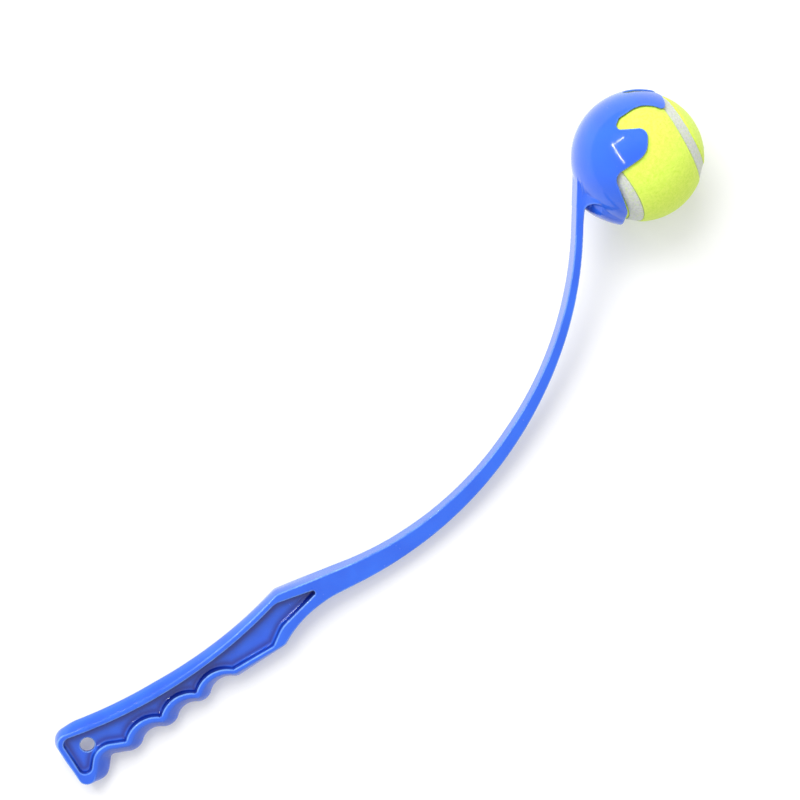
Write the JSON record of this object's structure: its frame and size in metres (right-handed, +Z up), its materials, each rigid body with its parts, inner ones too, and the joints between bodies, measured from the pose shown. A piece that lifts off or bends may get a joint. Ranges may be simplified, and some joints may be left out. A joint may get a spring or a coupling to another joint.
{
  "type": "dog ball launcher stick",
  "caption": "Dog ball launcher stick: pocketed grip with finger grooves and a hang hole, a thin bowed arm, and a clawed cup that snaps over a felt ball and lets it go in a swing.",
  "frame": {"origin": "centre of the hang hole, half way through the web", "axes": "+X from the hang hole towards the ball, in the table plane; +Z up from the table the launcher lies on; +Y to the left of +X, towards the spine of the grip"},
  "size_m": [0.4471, 0.0889, 0.0656],
  "materials": {
    "blue_plastic": "glossy moulded",
    "yellow_felt": "napped felt",
    "seam_rubber": "matt",
    "core_rubber": "matt"
  },
  "bodies": {
    "launcher": {"handle_flange": "blue_plastic", "handle_web": "blue_plastic", "throwing_arm": "blue_plastic", "neck_gusset": "blue_plastic", "ball_cup": "blue_plastic", "lower_lip": "blue_plastic"},
    "upper_claw_left": {"upper_claw_left": "blue_plastic"},
    "upper_claw_right": {"upper_claw_right": "blue_plastic"},
    "side_claw_left": {"side_claw_left": "blue_plastic"},
    "side_claw_right": {"side_claw_right": "blue_plastic"},
    "ball": {"core_half_top": "core_rubber", "core_half_bottom": "core_rubber", "core_cement_ring": "core_rubber", "felt_panel_top": "yellow_felt", "felt_panel_bottom": "yellow_felt", "seam_cement": "seam_rubber"}
  },
  "joints": [
    {"name": "upper_claw_left_flex", "type": "hinge", "parent": "launcher", "child": "upper_claw_left", "pos_m": [0.41016, 0.01891, 0.04465], "axis": [-0.7758, -0.2102, 0.5949], "range_deg": [0, 6], "stiffness_Nm_per_rad": 2.2},
    {"name": "upper_claw_right_flex", "type": "hinge", "parent": "launcher", "child": "upper_claw_right", "pos_m": [0.41187, 0.02727, 0.01432], "axis": [0.7032, -0.1458, 0.6959], "range_deg": [0, 6], "stiffness_Nm_per_rad": 2.2},
    {"name": "side_claw_left_flex", "type": "hinge", "parent": "launcher", "child": "side_claw_left", "pos_m": [0.39059, 0.007, 0.05301], "axis": [-0.7718, -0.6358, 0.0087], "range_deg": [0, 6], "stiffness_Nm_per_rad": 2.2},
    {"name": "side_claw_right_flex", "type": "hinge", "parent": "launcher", "child": "side_claw_right", "pos_m": [0.39362, 0.02187, -0.00094], "axis": [0.7481, 0.5195, 0.4128], "range_deg": [0, 6], "stiffness_Nm_per_rad": 2.2},
    {"name": "ball_release", "type": "slide", "parent": "launcher", "child": "ball", "axis": [0.4412, -0.8712, -0.2155], "range_m": [0, 0.045]}
  ]
}
